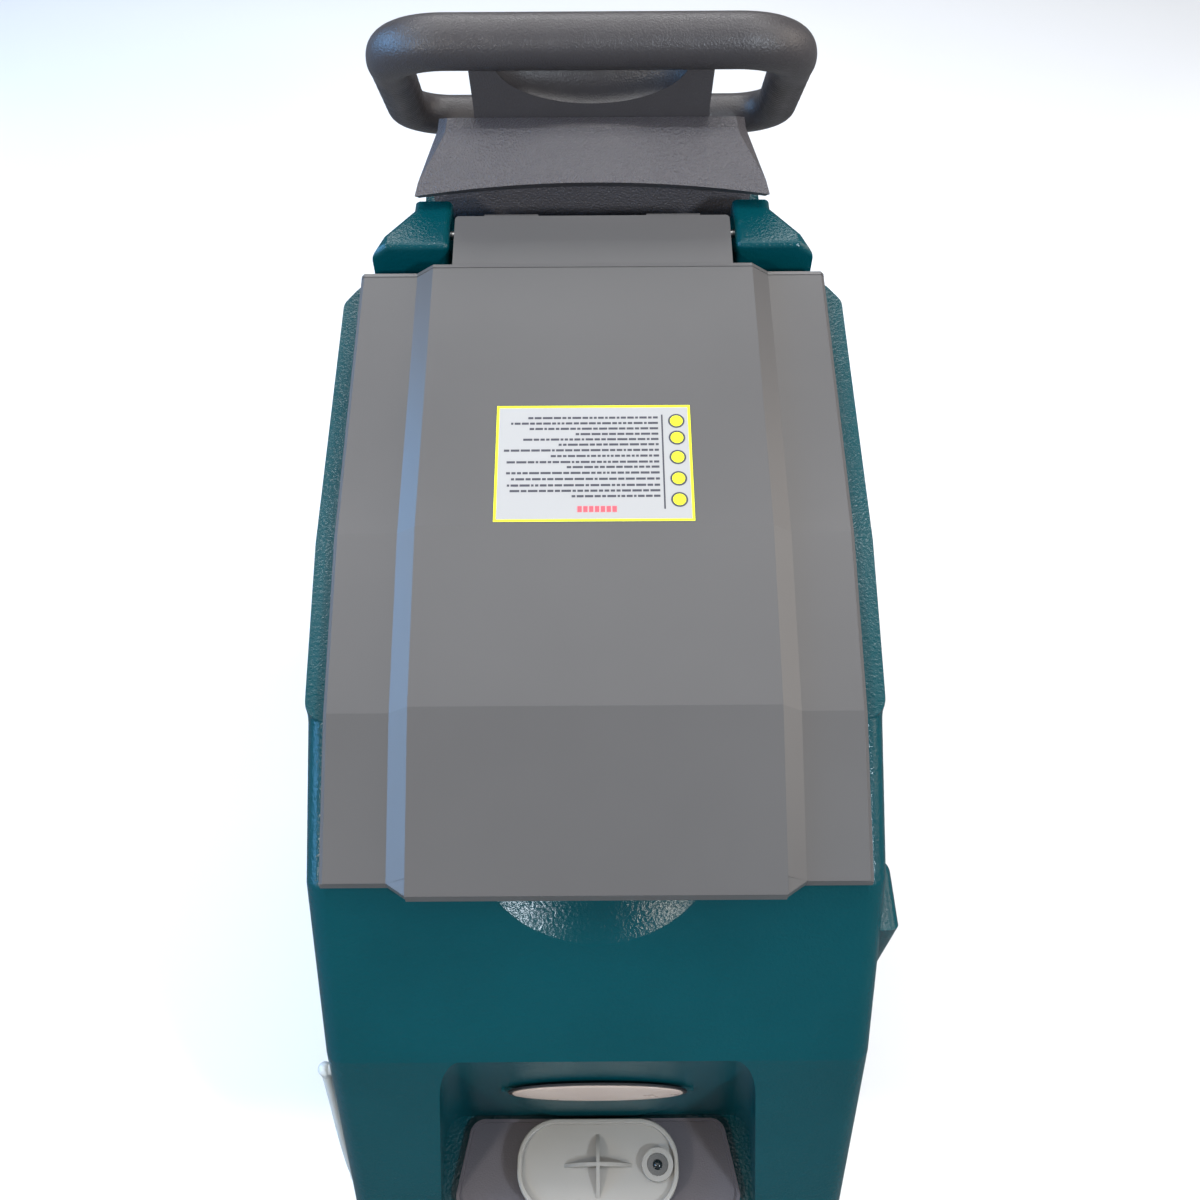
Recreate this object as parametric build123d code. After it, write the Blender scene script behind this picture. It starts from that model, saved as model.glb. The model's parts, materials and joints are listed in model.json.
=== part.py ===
from build123d import *
import os
from math import cos, hypot, pi, radians, sin, sqrt

# Compact walk-behind floor scrubber, millimetres.
# Frame: +X to the machine's left as its operator sees it, -Y is the front, +Y the operator's side,
# +Z up, origin on the floor under the middle of the whole machine.

# ---------------------------------------------------------------- driving dimensions
WALL = 5.0                     # moulded wall of the tanks and the body

BODY_HALF_NOSE = 221.0         # half width of the body at its nose
BODY_HALF_FACE = 225.0         # half width of the body at the lid's front edge
FACE_Y, SIDE_Y = -300.0, -170.0
BODY_HALF = 227.0              # half width of the body along its middle
SHOULDER_Y = 198.0             # where the rear corners start to cut in
WAIST_Y = 288.0                # where the rear corners end
WAIST_HALF = 166.0             # half width of the narrow rear
BODY_REAR_Y = 430.0
BODY_FLOOR_Z = 212.0           # underside of the body over the wheels
NOSE_FLOOR_Z = 255.0           # underside of the body over the brush motor
REAR_TOP_Z = 800.0             # top of the body under the hood

# rim of the lid seen from the side: (y, z) of the top of its side flats, front to rear
LID_LINE = [(-306, 684), (-192, 742), (-52, 787), (216, 828)]
LID_HALF = 210.0
LID_SKIRT = 9.0                # height of the lid's turned-down edge
LID_WALL = 4.0
LID_RAISE = 10.0               # the middle panel stands this much above the side flats
LID_PANEL_HALF = 143.5
LID_PANEL_FOOT = 159.0         # half width at the foot of the sloping strips
LID_TAB_HALF = 126.5
LID_TAB_Y = 273.0              # rear edge of the tab that carries the middle panel back to the hinge
LID_LIP = 12.0                 # the middle panel runs this far past the front edge
HINGE_Y, HINGE_Z = 272.0, 826.0
HINGE_PIN_R = 4.0

# front face of the body seen from the side
FACE_LINE = [(-304, 671), (-399, 533), (-467, 376), (-492, 318), (-500, 290)]
SCOOP_HALF, SCOOP_DEEP, SCOOP_IN = 84.5, 54.0, 28.0

RECESS_BACK_Y = -399.0
SHELF_Z = 330.0
TRAY_Z = 334.0
RECESS_HALF_TOP, RECESS_HALF_LOW = 126.0, 143.0
RECESS_TOP_Z = 533.0
CAP_Y, CAP_W, CAP_D, CAP_R = -446.0, 148.0, 80.0, 36.0
NECK_W, NECK_D = 116.0, 54.0
BADGE_Z = 444.0

HORN_Y0, HORN_TOP_Z = 235.0, 844.0
HORN_INNER, HORN_OUTER = 131.0, 188.0

HOOD_HALF_LIP, HOOD_HALF_REAR, HOOD_HALF_TOP = 164.0, 145.0, 138.0
HOOD_LIP_Y, HOOD_LIP_SET = 281.0, 17.0
HOOD_TAPER_Y = 358.0           # the hood narrows from its lip to here

# handle ring: a rounded loop in a sloping plane
RING_TOP = (368.0, 960.0)      # (y, z) of the middle of the top bar
RING_LOW = (536.0, 781.0)
RING_HALF_TOP, RING_HALF_LOW = 186.5, 198.5
RING_R, GRIP_R = 20.0, 23.5    # bar radius, and the radius of the thicker top bar
RING_CORNER_TOP, RING_CORNER_LOW = 58.0, 46.0
GRIP_HALF, GRIP_TAPER = 94.0, 30.0
HOUSING_HALF = 110.0

BRUSH_Y = -324.0
BRUSH_R = 215.0
DECK_R = 228.0
DECK_PIVOT_Y, DECK_PIVOT_Z = -70.0, 150.0

WHEEL_R, WHEEL_W, WHEEL_Y, WHEEL_X = 100.0, 42.0, 60.0, 176.0
CASTER_R, CASTER_W, CASTER_X, CASTER_Y, CASTER_TRAIL = 40.0, 26.0, 112.0, 318.0, 26.0
RAIL_X, RAIL_Z0, RAIL_Z1 = 100.0, 184.0, 212.0

SQUEEGEE_R = 820.0             # radius of the bow of the squeegee
SQUEEGEE_HALF_DEG = 24.5
SQUEEGEE_Y = 532.0             # rearmost line of its body on the middle line
SQUEEGEE_PIVOT_Y, SQUEEGEE_PIVOT_Z = 372.0, 165.0

os.makedirs("parts", exist_ok=True)


# ---------------------------------------------------------------- helpers
def block(x0, x1, y0, y1, z0, z1):
    """A box between two corners."""
    centre = ((x0 + x1) / 2, (y0 + y1) / 2, (z0 + z1) / 2)
    return Pos(*centre) * Box(x1 - x0, y1 - y0, z1 - z0)


def side_prism(points, x0, x1):
    """A side outline, points as (y, z), carried across from x0 to x1."""
    outline = make_face(Plane.YZ * Polyline(*points, close=True))
    return Pos(x0, 0, 0) * extrude(outline, amount=x1 - x0, dir=(1, 0, 0))


def plan_prism(points, z0, z1):
    """A plan outline, points as (x, y), carried up from z0 to z1."""
    outline = make_face(Polyline(*points, close=True))
    return Pos(0, 0, z0) * extrude(outline, amount=z1 - z0, dir=(0, 0, 1))


def front_prism(points, y0, y1):
    """A front outline, points as (x, z), carried back from y0 to y1."""
    outline = make_face(Plane.XZ * Polyline(*points, close=True))
    return Pos(0, y0, 0) * extrude(outline, amount=y1 - y0, dir=(0, 1, 0))


def rod(start, end, radius):
    """A round bar between two points."""
    axis = Vector(*end) - Vector(*start)
    return Plane(origin=start, z_dir=axis) * Pos(0, 0, axis.length / 2) * Cylinder(radius, axis.length)


def pipe(start, end, outer, inner):
    return rod(start, end, outer) - rod(start, end, inner)


def both_sides(shape):
    """The shape and its twin across the middle plane."""
    return shape + mirror(shape, about=Plane.YZ)


def slab(width, depth, radius, z0, z1, x=0.0, y=0.0):
    """A plate with rounded corners."""
    return Pos(x, y, z0) * extrude(RectangleRounded(width, depth, radius), amount=z1 - z0)


def inset(points, amount):
    """The corners of a closed outline, given anticlockwise, with every side moved in by amount."""
    count = len(points)
    moved = []
    for i in range(count):
        before, here, after = points[i - 1], points[i], points[(i + 1) % count]
        a = (here[0] - before[0], here[1] - before[1])
        b = (after[0] - here[0], after[1] - here[1])
        na = (-a[1] / hypot(*a), a[0] / hypot(*a))
        nb = (-b[1] / hypot(*b), b[0] / hypot(*b))
        stretch = amount / (1 + na[0] * nb[0] + na[1] * nb[1])
        moved.append((here[0] + (na[0] + nb[0]) * stretch, here[1] + (na[1] + nb[1]) * stretch))
    return moved


def soften(shape, edges, radius):
    """Rounds the edges, with a smaller radius where the first doesn't fit."""
    for tried in (radius, radius * 0.6, radius * 0.3):
        try:
            rounded = fillet(edges, tried)
            if rounded.is_valid:
                return rounded
        except Exception:
            continue
    return shape


def lid_z(y):
    """Height of the lid's side flats at y."""
    for (y0, z0), (y1, z1) in zip(LID_LINE, LID_LINE[1:]):
        if y <= y1:
            return z0 + (z1 - z0) * (y - y0) / (y1 - y0)
    return LID_LINE[-1][1]


def write(node, shape):
    solids = shape.solids()
    kept = solids[0] if len(solids) == 1 else Compound(children=list(solids))
    kept.label = node
    export_step(kept, f"parts/{node}.step")
    print(f"{node:26s} solids {len(solids)}  volume {sum(s.volume for s in solids) / 1000:9.1f} cm3")


# ---------------------------------------------------------------- places of the hose fittings
LEVEL_X = -229.6
LEVEL_TOP, LEVEL_LOW = (LEVEL_X, -394.0, 486.0), (LEVEL_X, -445.0, 300.0)
LEVEL_PORT_R = 5.0
LEVEL_STEP = 8.0               # the side ports are this far beyond the ends of the level hose
DRAIN_LOW = (188.0, 362.0, 246.0)
SUCTION_TOP = (84.0, 466.0, 470.0)
SUCTION_RISE = 30.0
# (start, end, radius) of each hole that a fitting passes through in the body's wall
PORTS = [((-240, y, z), (-200, y, z), LEVEL_PORT_R)
         for y, z in ((LEVEL_TOP[1], LEVEL_TOP[2] + LEVEL_STEP), (LEVEL_LOW[1], LEVEL_LOW[2] - LEVEL_STEP))]
PORTS.append(((150, DRAIN_LOW[1], DRAIN_LOW[2]), (170, DRAIN_LOW[1], DRAIN_LOW[2]), 16))
PORTS.append(((SUCTION_TOP[0], 420, SUCTION_TOP[2] + SUCTION_RISE),
              (SUCTION_TOP[0], 440, SUCTION_TOP[2] + SUCTION_RISE), 24))

# ---------------------------------------------------------------- body
RIM_DROP = 12.0                # the body's rim lies this far under the lid's flats
HINGE_DECK_Z = 806.0           # top of the body between the horns
TROUGH_Y = 214.0               # rear end of the sloping rim
NOSE_CORNER_R, UPRIGHT_R, FOOT_R, BROW_R = 17.0, 15.0, 7.0, 9.0
SILL_R, BRIM_R = 6.0, 3.0


def body_outline():
    """Side outline of the body, anticlockwise seen from the left with the nose at the left."""
    floor = [(-497, NOSE_FLOOR_Z), (-150, NOSE_FLOOR_Z), (-150, BODY_FLOOR_Z), (BODY_REAR_Y, BODY_FLOOR_Z)]
    back = [(BODY_REAR_Y, REAR_TOP_Z), (303, REAR_TOP_Z), (300, HINGE_DECK_Z), (TROUGH_Y, HINGE_DECK_Z + 5)]
    rim = [(y, lid_z(y) - RIM_DROP) for y in (-52, -192)]
    return FACE_LINE + floor + back + rim


def body_plan():
    half = [(BODY_HALF_NOSE, -520), (BODY_HALF_FACE, FACE_Y), (BODY_HALF, SIDE_Y),
            (BODY_HALF, SHOULDER_Y), (WAIST_HALF, WAIST_Y),
            (WAIST_HALF, 405), (WAIST_HALF - 22, 440)]
    return half + [(-x, y) for x, y in reversed(half)]


def pocket(grow):
    """The front recess: upright back wall, level floor, sides that open towards the nose."""
    low, top = RECESS_HALF_LOW + grow, RECESS_HALF_TOP + grow
    foot_z, head_z = SHELF_Z - grow, RECESS_TOP_Z + 40
    front = [(-low, foot_z), (low, foot_z), (top, head_z), (-top, head_z)]
    shape = front_prism(front, -530, RECESS_BACK_Y + grow)
    corners = shape.edges().filter_by(lambda e: abs(e.center().X) > 100 and e.center().Y > RECESS_BACK_Y - 1
                                      and e.length > 150)
    return soften(shape, corners, 17 + grow)


def scoop(grow):
    """The finger scoop in the top edge of the front face, a shallow dish."""
    (y0, z0), (y1, z1) = FACE_LINE[0], FACE_LINE[1]
    run = hypot(y1 - y0, z1 - z0)
    down = ((y1 - y0) / run, (z1 - z0) / run)
    out = (down[1], -down[0])
    arc = (SCOOP_HALF ** 2 + SCOOP_DEEP ** 2) / (2 * SCOOP_DEEP)
    ball = (arc ** 2 + SCOOP_IN ** 2) / (2 * SCOOP_IN)
    rise, lift = arc - SCOOP_DEEP, ball - SCOOP_IN
    y = y0 - down[0] * rise + out[0] * lift
    z = z0 - down[1] * rise + out[1] * lift
    return Pos(0, y, z) * Sphere(ball + grow)


def horn():
    """The raised rear corner beside the lid's tab, on the +X side."""
    front = [(HORN_INNER, 790), (232, 790), (232, 811), (HORN_OUTER, HORN_TOP_Z), (HORN_INNER, HORN_TOP_Z)]
    shape = front_prism(front, HORN_Y0, 299) & plan_prism(body_plan(), 700, 900)
    crown = shape.edges().filter_by(lambda e: e.center().Z > 812 and e.center().Y < 298)
    return soften(shape, crown, 9)


def on_face(edge):
    """Whether an edge's middle lies on the sloping front face."""
    middle = edge.position_at(0.5)
    for (y0, z0), (y1, z1) in zip(FACE_LINE, FACE_LINE[1:]):
        if z1 <= middle.Z <= z0:
            return abs(middle.Y - y0 - (y1 - y0) * (middle.Z - z0) / (z1 - z0)) < 4
    return False


def lies_along(edge, axis):
    return abs(getattr(edge.tangent_at(0.5), axis)) > 0.99


def moulded_form(depth):
    """The body's closed form, depth inside its surface, with its edges rounded."""
    outline, plan = body_outline(), body_plan()
    if depth:
        outline, plan = inset(outline, depth), inset(plan, depth)
    form = side_prism(outline, -240, 240) & plan_prism(plan, 150, 900)
    creases = form.edges().filter_by(
        lambda e: lies_along(e, "X") and e.center().Y < -385 and e.center().Z > 265)
    for low, high, radius in ((500, 560, 450), (300, 340, 24), (265, 300, 12)):
        here = [e for e in creases if low < e.center().Z < high]
        form = soften(form, here, radius)
    brow = form.edges().filter_by(
        lambda e: lies_along(e, "X") and e.center().Y < -290 and e.center().Z > 640)
    form = soften(form, brow, BROW_R - depth)
    uprights = form.edges().filter_by(lambda e: lies_along(e, "Z") and e.center().Y > 150)
    form = soften(form, uprights, UPRIGHT_R - depth)
    nose = form.edges().filter_by(
        lambda e: abs(e.center().X) > 190 and e.center().Y < -250 and abs(e.tangent_at(0.5).X) < 0.3
        and abs(e.tangent_at(0.5).Z) > 0.5)
    form = soften(form, nose, NOSE_CORNER_R - depth)
    chin = form.edges().filter_by(lambda e: e.center().Z < NOSE_FLOOR_Z + 7 and e.center().Y < -470)
    form = soften(form, chin, FOOT_R - depth)
    foot = form.edges().filter_by(lambda e: e.center().Z < NOSE_FLOOR_Z + 7 and not lies_along(e, "X"))
    return soften(form, foot, FOOT_R - depth)


def make_body():
    outer = moulded_form(0) - pocket(0)
    sill = outer.edges().filter_by(
        lambda e: lies_along(e, "X") and abs(e.center().Z - SHELF_Z) < 1 and on_face(e))
    outer = soften(outer, sill, SILL_R)
    outer -= scoop(0)
    brim = outer.edges().filter_by(
        lambda e: abs(e.center().X) < SCOOP_HALF + 5 and 610 < e.center().Z < 660 and on_face(e))
    outer = soften(outer, brim, BRIM_R)
    body = outer - (moulded_form(WALL) - pocket(WALL) - scoop(WALL))
    body -= slab(384, 452, 8, 640, 900, y=-24)
    body += both_sides(horn())
    bulge = block(215, 240, -324, -266, 468, 626)
    body += soften(bulge, bulge.edges().filter_by(lambda e: e.center().X > 230), 10)
    badge_boss = Plane.XZ.offset(-RECESS_BACK_Y) * Pos(0, BADGE_Z, 0) * extrude(Ellipse(84, 110), amount=3)
    body += badge_boss & block(-84, 84, -410, -399, SHELF_Z, BADGE_Z)
    body -= slab(NECK_W + 6, NECK_D + 6, 20, 320, 340, y=CAP_Y)
    body -= rod((-140, HINGE_Y, HINGE_Z), (140, HINGE_Y, HINGE_Z), HINGE_PIN_R)
    for start, end, radius in PORTS:
        body -= rod(start, end, radius)
    return body


body = make_body()
write("main_body", body)

# ---------------------------------------------------------------- lid and its hinge
LID_CLEAR = 24.0               # the tank's rim lies this far under the lid's flats


def lid_outline(z):
    """Upper line of the lid's cross section, left to right, for flats at height z."""
    half = [(LID_PANEL_HALF, z + LID_RAISE), (LID_PANEL_FOOT, z), (LID_HALF - 3, z), (LID_HALF, z - 3),
            (LID_HALF, z - LID_SKIRT)]
    return [(-x, h) for x, h in reversed(half)] + half


def lid_section(y, z):
    upper = lid_outline(z)
    lower = [(LID_HALF - LID_WALL, z - LID_SKIRT), (LID_HALF - LID_WALL, z - LID_WALL),
             (LID_PANEL_FOOT - 2, z - LID_WALL), (LID_PANEL_HALF - 2, z + LID_RAISE - LID_WALL)]
    ring = upper + lower + [(-x, h) for x, h in reversed(lower)]
    return Pos(0, y, 0) * make_face(Plane.XZ * Polyline(*ring, close=True))


def make_lid():
    lid = loft([lid_section(y, z) for y, z in LID_LINE], ruled=True)
    front_y, front_z = LID_LINE[0]
    rear_y, rear_z = LID_LINE[-1]
    lid += front_prism(lid_outline(front_z), front_y, front_y + LID_WALL)
    end_wall = front_prism(lid_outline(rear_z), rear_y - LID_WALL, rear_y)
    lid += end_wall - block(-LID_TAB_HALF, LID_TAB_HALF, 200, 230, 700, 834)
    slope = (LID_LINE[1][1] - front_z) / (LID_LINE[1][0] - front_y)
    top = front_z + LID_RAISE
    drop = slope * LID_LIP
    lip = [(front_y, top), (front_y - LID_LIP, top - drop), (front_y - LID_LIP, top - drop - 10),
           (front_y - LID_LIP + LID_WALL, top - drop - 10), (front_y - LID_LIP + LID_WALL, top - drop - 2),
           (front_y, top - LID_WALL)]
    lid += side_prism(lip, -LID_PANEL_HALF, LID_PANEL_HALF)
    panel_edge = LID_PANEL_HALF - 1
    cheek = Polyline((panel_edge, front_y - LID_LIP, top - drop), (LID_PANEL_FOOT, front_y, front_z),
                     (panel_edge, front_y, top), close=True)
    lid += both_sides(extrude(make_face(cheek), amount=LID_SKIRT - 1, dir=(0, 0, -1)))
    slope = (rear_z - LID_LINE[-2][1]) / (rear_y - LID_LINE[-2][0])
    tab_line = [(y, rear_z + LID_RAISE + slope * (y - rear_y)) for y in (rear_y - 2, LID_TAB_Y)]
    tab_z = tab_line[-1][1]
    tab_side = tab_line + [(y, z - LID_WALL) for y, z in reversed(tab_line)]
    tab = side_prism(tab_side, -LID_TAB_HALF, LID_TAB_HALF)
    rear_corners = tab.edges().filter_by(Axis.Z).filter_by(lambda e: e.center().Y > LID_TAB_Y - 2)
    lid += soften(tab, rear_corners, 4)
    knuckle = rod((50, HINGE_Y, HINGE_Z), (100, HINGE_Y, HINGE_Z), 9)
    knuckle += block(50, 100, HINGE_Y - 7, HINGE_Y + 7, HINGE_Z, tab_z - 3)
    lid += both_sides(knuckle)
    return lid - rod((-140, HINGE_Y, HINGE_Z), (140, HINGE_Y, HINGE_Z), HINGE_PIN_R + 0.06)


write("lid", make_lid())
write("lid_hinge_pin", rod((-138, HINGE_Y, HINGE_Z), (138, HINGE_Y, HINGE_Z), HINGE_PIN_R))

# notice plate stuck to the middle panel, on the flat stretch behind its last bend
NOTICE_W, NOTICE_Y0, NOTICE_Y1, NOTICE_T = 162.0, -49.0, 62.0, 0.4
notice_line = [(NOTICE_Y0, lid_z(NOTICE_Y0) + LID_RAISE), (NOTICE_Y1, lid_z(NOTICE_Y1) + LID_RAISE)]
notice_side = notice_line + [(y, z + NOTICE_T) for y, z in reversed(notice_line)]
write("lid_notice", side_prism(notice_side, -NOTICE_W / 2, NOTICE_W / 2))

# ---------------------------------------------------------------- tanks and power inside the body
TUB_Y0, TUB_Y1, TUB_HALF, TUB_Z = 22.0, 196.0, 186.0, 304.0


def tub_prism(y0, y1, half, low, drop):
    return side_prism([(y0, low), (y1, low), (y1, lid_z(y1) - drop), (y0, lid_z(y0) - drop)], -half, half)


RISER_Y, RISER_R = 130.0, 24.0
tub = tub_prism(TUB_Y0, TUB_Y1, TUB_HALF, TUB_Z, LID_CLEAR)
tub -= tub_prism(TUB_Y0 + WALL, TUB_Y1 - WALL, TUB_HALF - WALL, TUB_Z + WALL, LID_CLEAR - 40)
tub -= rod((0, RISER_Y, 290), (0, RISER_Y, 320), RISER_R)
DRAIN_X, DRAIN_Z, DRAIN_R = 120.0, 330.0, 20.0
SUCTION_X, SUCTION_Z = 84.0, 690.0
tub -= rod((DRAIN_X, 180, DRAIN_Z), (DRAIN_X, 210, DRAIN_Z), DRAIN_R)
tub -= rod((SUCTION_X, 180, SUCTION_Z), (SUCTION_X, 210, SUCTION_Z), DRAIN_R)
write("recovery_tank", tub)

gasket = tub_prism(TUB_Y0 - 2, TUB_Y1 + 2, TUB_HALF + 2, 600, LID_CLEAR - 5)
gasket -= tub_prism(TUB_Y0 - 10, TUB_Y1 + 10, TUB_HALF + 10, 500, LID_CLEAR)
gasket -= tub_prism(TUB_Y0 + WALL, TUB_Y1 - WALL, TUB_HALF - WALL, 500, LID_CLEAR - 40)
write("tank_gasket", gasket)

cage = Pos(0, RISER_Y, 725) * Cylinder(34, 70) - Pos(0, RISER_Y, 722) * Cylinder(31, 70)
for turn in range(8):
    cage -= Pos(0, RISER_Y, 722) * Rot(0, 0, turn * 45) * Pos(33, 0, 0) * Box(12, 10, 44)
cage += pipe((0, RISER_Y, 297), (0, RISER_Y, 693), RISER_R, RISER_R - 3)
write("float_cage", cage + pipe((0, RISER_Y, 690), (0, RISER_Y, 693), 34, RISER_R - 1))

motor = Pos(0, RISER_Y, 257) * Cylinder(72, 80)
motor -= Pos(0, RISER_Y, 290) * Cylinder(RISER_R - 3, 30)
motor += Pos(0, RISER_Y - 78, 240) * Box(40, 30, 36)
write("vacuum_motor", motor)

# one outline serves the clean water tank, inside and out
TANK_SIDE = [(-484, 263), (-250, 263), (-250, 600), (-318, 600), (-389, 497), (-389, 321), (-484, 321)]
tank = side_prism(TANK_SIDE, -196, 196) - side_prism(inset(TANK_SIDE, WALL), -191, 191)
tank -= slab(NECK_W + 0.4, NECK_D + 0.4, 17, 310, 325, y=CAP_Y)
write("solution_tank", tank)

BATTERY_Y0, BATTERY_Y1, BATTERY_Z0, BATTERY_Z1 = -238.0, 6.0, 304.0, 528.0
shelf = block(-184, 184, BATTERY_Y0 - 4, BATTERY_Y1 + 4, 296, 304)
shelf -= block(-120, 120, BATTERY_Y0 + 40, BATTERY_Y1 - 40, 290, 310)
shelf += both_sides(block(176, 184, -140, 0, BODY_FLOOR_Z + WALL, 297))
shelf += both_sides(block(120, 184, BATTERY_Y0 - 4, BATTERY_Y0 + 4, NOSE_FLOOR_Z + WALL, 297))
write("battery_shelf", shelf)
for name, side in (("battery_left", 1), ("battery_right", -1)):
    case = block(6, 176, BATTERY_Y0, BATTERY_Y1, BATTERY_Z0, BATTERY_Z1)
    case = soften(case, case.edges().filter_by(Axis.Z), 6)
    case -= block(12, 170, BATTERY_Y0 + 6, BATTERY_Y1 - 6, BATTERY_Z1 - 4, BATTERY_Z1 + 1)
    for y in (BATTERY_Y0 + 40, BATTERY_Y1 - 40):
        case += Pos(36, y, BATTERY_Z1) * Cylinder(9, 16)
    case += block(84, 104, BATTERY_Y0 + 60, BATTERY_Y1 - 60, BATTERY_Z1 - 5, BATTERY_Z1 + 4)
    write(name, case if side > 0 else mirror(case, about=Plane.YZ))

# ---------------------------------------------------------------- filler tray, cap and badge
TRAY_HALF_REAR, TRAY_HALF_FRONT, TRAY_Y0 = 118.0, 133.0, -482.0
tray_plan = [(-TRAY_HALF_REAR, RECESS_BACK_Y - 4), (-TRAY_HALF_FRONT, TRAY_Y0), (TRAY_HALF_FRONT, TRAY_Y0),
             (TRAY_HALF_REAR, RECESS_BACK_Y - 4)]
tray = plan_prism(tray_plan, SHELF_Z, TRAY_Z + 2.5)
tray = soften(tray, tray.edges().filter_by(Axis.Z), 14)
dip = plan_prism(inset(tray_plan, 3), TRAY_Z, TRAY_Z + 10)
tray -= soften(dip, dip.edges().filter_by(Axis.Z), 11)
tray -= slab(NECK_W, NECK_D, 17, 320, 345, y=CAP_Y)
tray += slab(NECK_W, NECK_D, 17, 316, 338, y=CAP_Y) - slab(NECK_W - 6, NECK_D - 6, 14, 310, 345, y=CAP_Y)
write("filler_tray", tray)

CAP_Z0, CAP_Z1 = 339.6, 352.0
cap = slab(CAP_W, CAP_D, CAP_R, CAP_Z0, CAP_Z1, y=CAP_Y)
cap -= slab(CAP_W - 9, CAP_D - 9, CAP_R - 4.5, CAP_Z1 - 4, CAP_Z1 + 5, y=CAP_Y)
cap += slab(NECK_W - 9, NECK_D - 9, 12.5, 320, CAP_Z0, y=CAP_Y)
cap = soften(cap, cap.edges().filter_by(lambda e: e.center().Z > CAP_Z1 - 0.1), 1.2)
for turn, span in ((0, 62.0), (90, 54.0)):
    fin_rise = 10.0
    fin_r = (span ** 2 / 4 + fin_rise ** 2) / (2 * fin_rise)
    fin = Plane.XZ * Pos(0, fin_rise - fin_r, 0) * Circle(fin_r)
    fin = Pos(0, 1.6, CAP_Z1 - 4) * extrude(fin, amount=3.2) & Pos(0, 0, CAP_Z1 + 6) * Box(90, 90, 20)
    cap += Pos(0, CAP_Y, 0) * Rot(0, 0, turn) * fin
VALVE_X = 54.6
cap += Pos(VALVE_X, CAP_Y, CAP_Z1 - 1) * (Cylinder(14.3, 7) - Pos(0, 0, 2) * Cylinder(9.8, 6))
write("filler_cap", cap)
valve = Pos(VALVE_X, CAP_Y, CAP_Z1 - 0.5) * Cylinder(9.6, 3) + Pos(VALVE_X, CAP_Y, CAP_Z1 + 1) * Sphere(4.5)
write("cap_vent", valve & block(0, 90, -500, -380, CAP_Z1 - 2, CAP_Z1 + 20))

badge_y = RECESS_BACK_Y - 3
badge = Plane.XZ.offset(-badge_y) * Pos(0, BADGE_Z, 0) * extrude(Ellipse(78, 30), amount=1.5)
write("front_badge", badge)

# ---------------------------------------------------------------- hood
HOOD_SIDE = [(HOOD_LIP_Y, 850), (330, 850), (330, REAR_TOP_Z + 2), (434, REAR_TOP_Z + 2), (434, 742),
             (474, 742), (474, 800), (396, 866), (361, 890), (344, 890), (HOOD_LIP_Y, 856)]
HOOD_PLAN = [(HOOD_HALF_LIP, 270), (HOOD_HALF_LIP, HOOD_LIP_Y + 4), (HOOD_HALF_REAR, HOOD_TAPER_Y),
             (HOOD_HALF_REAR, 500)]


def make_hood():
    hood = side_prism(HOOD_SIDE, -170, 170)
    hood &= plan_prism(HOOD_PLAN + [(-x, y) for x, y in reversed(HOOD_PLAN)], 700, 900)
    front = [(HOOD_HALF_LIP, 730), (HOOD_HALF_LIP, 862), (HOOD_HALF_TOP, 886), (HOOD_HALF_TOP - 4, 892)]
    hood &= front_prism(front + [(-x, z) for x, z in reversed(front)], 280, 500)
    bow = (HOOD_HALF_LIP ** 2 + HOOD_LIP_SET ** 2) / (2 * HOOD_LIP_SET)
    hood -= Pos(0, HOOD_LIP_Y + HOOD_LIP_SET - bow, 864) * Cone(bow + 20, bow - 20, 40)
    inside = [(334, 810), (430, 810), (430, 750), (468, 750), (468, 798), (391, 862), (359, 884), (346, 884),
              (334, 877)]
    hood -= side_prism(inside, -HOOD_HALF_TOP + 4, HOOD_HALF_TOP - 4)
    long_edges = hood.edges().filter_by(lambda e: e.center().Y > 470 and abs(e.center().X) > 140)
    return soften(hood, long_edges, 8)


# ---------------------------------------------------------------- handle ring and console
RING_DROP = hypot(RING_LOW[0] - RING_TOP[0], RING_LOW[1] - RING_TOP[1])
DOWN = ((RING_LOW[0] - RING_TOP[0]) / RING_DROP, (RING_LOW[1] - RING_TOP[1]) / RING_DROP)
FACING = (-DOWN[1], DOWN[0])   # (y, z) of the ring plane's normal, towards the operator
ring_plane = Plane(origin=(0, RING_TOP[0], RING_TOP[1]), x_dir=(1, 0, 0), z_dir=(0, FACING[0], FACING[1]))


def on_panel(x, down, out=0.0):
    """A place on the ring plane: sideways, down the slope, and out towards the operator."""
    return ring_plane.location * Pos(x, down, out)


def make_ring():
    """The closed loop of the handle, with a thicker grip along its top bar."""
    corners = [(-RING_HALF_TOP, 0), (RING_HALF_TOP, 0), (RING_HALF_LOW, RING_DROP),
               (-RING_HALF_LOW, RING_DROP)]
    radii = [RING_CORNER_TOP, RING_CORNER_TOP, RING_CORNER_LOW, RING_CORNER_LOW]
    path = FilletPolyline(*corners, radius=radii, close=True)
    start = path @ 0
    tube = sweep(Plane(origin=start, z_dir=path % 0) * Circle(RING_R), path=path)
    half = [(0, 0), (0, GRIP_R), (GRIP_HALF, GRIP_R), (GRIP_HALF + GRIP_TAPER, RING_R - 0.5),
            (GRIP_HALF + GRIP_TAPER, 0)]
    grip = revolve(make_face(Polyline(*half, close=True)), Axis.X)
    return ring_plane.location * (tube + both_sides(grip))


ring = make_ring()
PANEL_TOP, PANEL_LOW, PANEL_SINK = 34.0, 214.0, -4.0


def slope_point(down, out):
    """(y, z) of a point down the ring plane and out from it."""
    return (RING_TOP[0] + DOWN[0] * down + FACING[0] * out, RING_TOP[1] + DOWN[1] * down + FACING[1] * out)


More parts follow.
